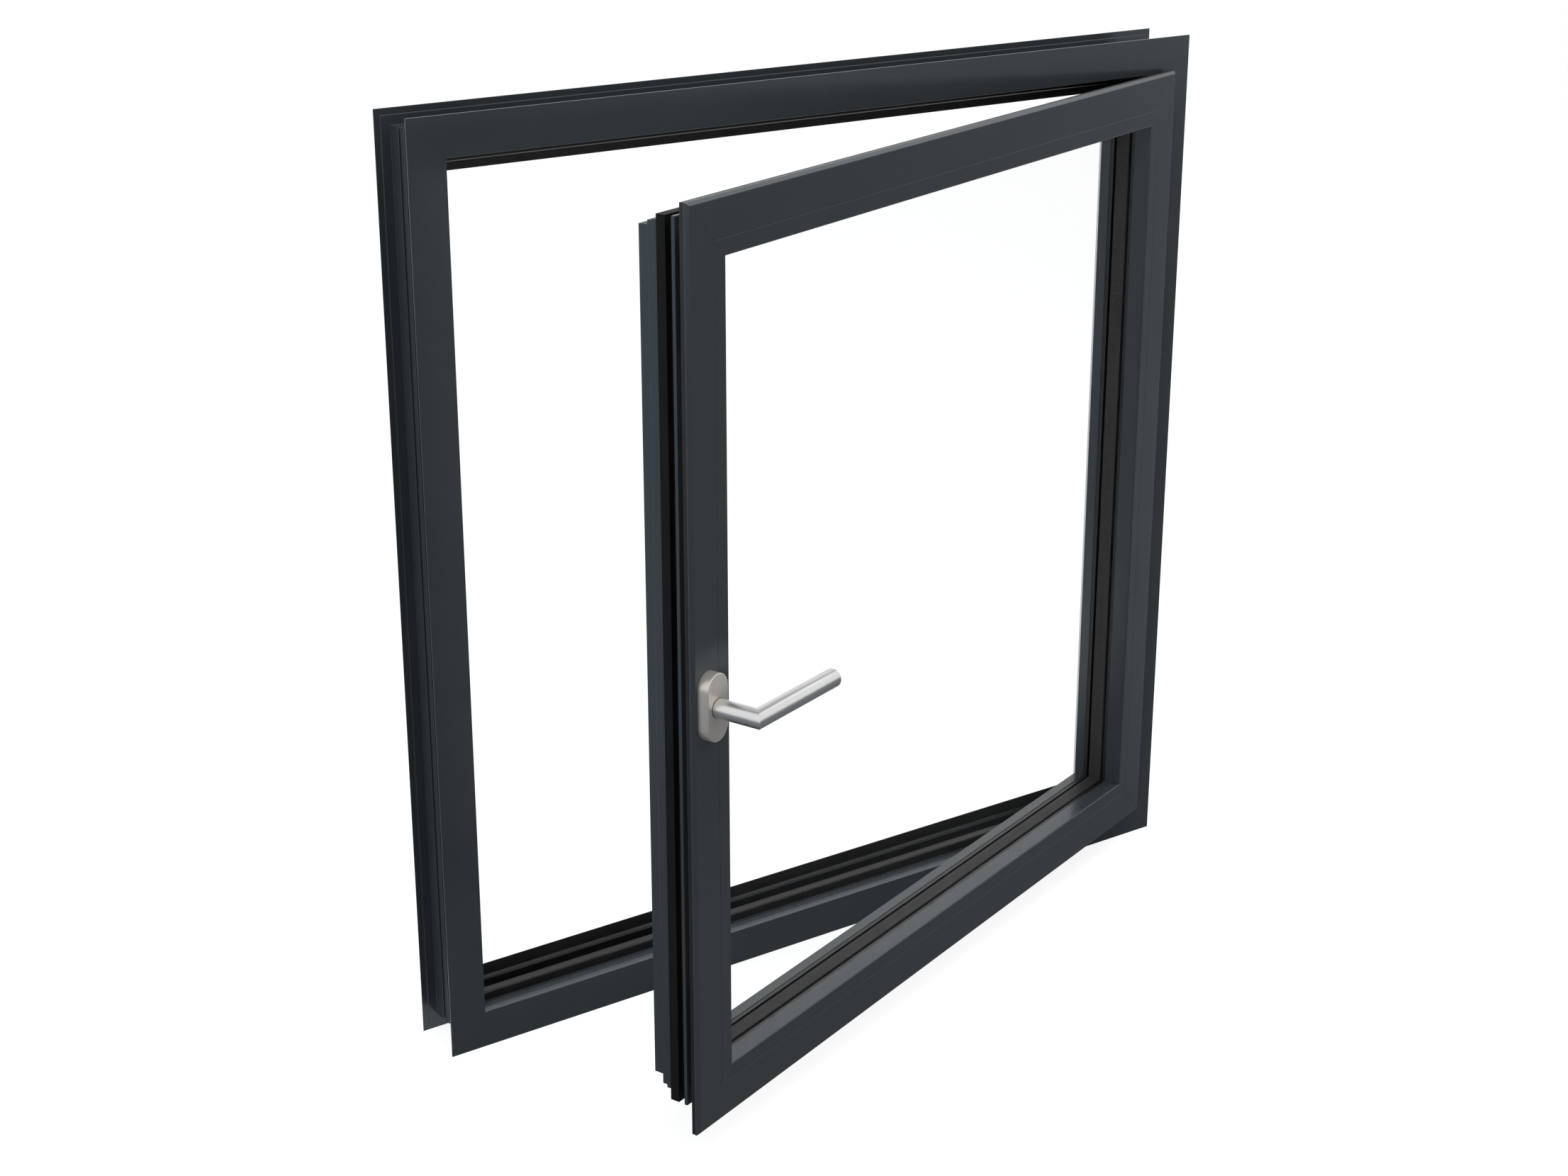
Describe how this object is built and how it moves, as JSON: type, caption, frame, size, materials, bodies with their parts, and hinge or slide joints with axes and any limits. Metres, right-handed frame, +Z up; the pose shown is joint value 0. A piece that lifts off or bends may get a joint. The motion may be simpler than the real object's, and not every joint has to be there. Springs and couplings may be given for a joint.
{
  "type": "tilt and turn window",
  "caption": "Square aluminium window frame with a double-glazed sash on a concealed side hinge, tilting on its bottom edge, with a stay arm and a lever handle.",
  "frame": {"origin": "on the seat face under the sill, in the wall channel between the two flanges, at mid width and halfway across the room side profile", "axes": "+X to the right seen from the room, towards the hinges; +Y to the outside; +Z up"},
  "size_m": [1, 0.4567, 1],
  "materials": {
    "profile_coat": "fine matt anthracite powder coat",
    "insulating_bar": "black glass-filled plastic",
    "seal_rubber": "black rubber",
    "spacer_bar": "dark warm-edge spacer with sealant",
    "glass": "clear float glass",
    "rosette_satin": "satin titanium grey",
    "lever_steel": "satin",
    "gear_steel": "plated gear steel"
  },
  "bodies": {
    "frame": {"frame_inner_sill": "profile_coat", "frame_outer_sill": "profile_coat", "frame_inner_jamb_handle": "profile_coat", "frame_outer_jamb_handle": "profile_coat", "frame_inner_head": "profile_coat", "frame_outer_head": "profile_coat", "frame_inner_jamb_hinge": "profile_coat", "frame_outer_jamb_hinge": "profile_coat", "frame_thermal_break": "insulating_bar", "frame_centre_seal": "seal_rubber", "frame_stop_seal": "seal_rubber", "hinge_pin_lower": "gear_steel", "hinge_pin_upper": "gear_steel"},
    "hinge_arm": {"hinge_arm": "gear_steel"},
    "sash": {"sash_inner_sill": "profile_coat", "sash_outer_sill": "profile_coat", "glazing_bead_sill": "profile_coat", "sash_inner_jamb_handle": "profile_coat", "sash_outer_jamb_handle": "profile_coat", "glazing_bead_jamb_handle": "profile_coat", "sash_inner_head": "profile_coat", "sash_outer_head": "profile_coat", "glazing_bead_head": "profile_coat", "sash_inner_jamb_hinge": "profile_coat", "sash_outer_jamb_hinge": "profile_coat", "glazing_bead_jamb_hinge": "profile_coat", "sash_thermal_break": "insulating_bar", "sash_lip_seal": "seal_rubber", "glazing_seal_inner": "seal_rubber", "glazing_seal_outer": "seal_rubber", "glass_inner": "glass", "glass_outer": "glass", "glass_spacer": "spacer_bar", "drive_rod": "gear_steel", "tilt_bracket": "gear_steel", "handle_rosette": "rosette_satin"},
    "handle": {"handle_lever": "lever_steel"},
    "stay_arm": {"stay_arm": "gear_steel"}
  },
  "joints": [
    {"name": "sash_turn", "type": "hinge", "parent": "frame", "child": "hinge_arm", "pos_m": [0.4744, -0.0075, 0.0295], "axis": [0, 0, 1], "range_deg": [-20, 70]},
    {"name": "sash_tilt", "type": "hinge", "parent": "hinge_arm", "child": "sash", "pos_m": [0.42243, -0.02376, 0.0295], "axis": [-0.9397, -0.342, 0], "range_deg": [-7, 0]},
    {"name": "handle_turn", "type": "hinge", "parent": "sash", "child": "handle", "pos_m": [-0.38031, -0.33594, 0.472], "axis": [-0.342, 0.9397, 0], "range_deg": [-90, 90]},
    {"name": "stay_swing", "type": "hinge", "parent": "hinge_arm", "child": "stay_arm", "pos_m": [0.4744, -0.0075, 0.935], "axis": [0, 0, 1], "range_deg": [0, 22]}
  ],
  "couplings": [
    {"joint": "stay_swing", "follows": "sash_tilt", "ratio": -3.09}
  ]
}
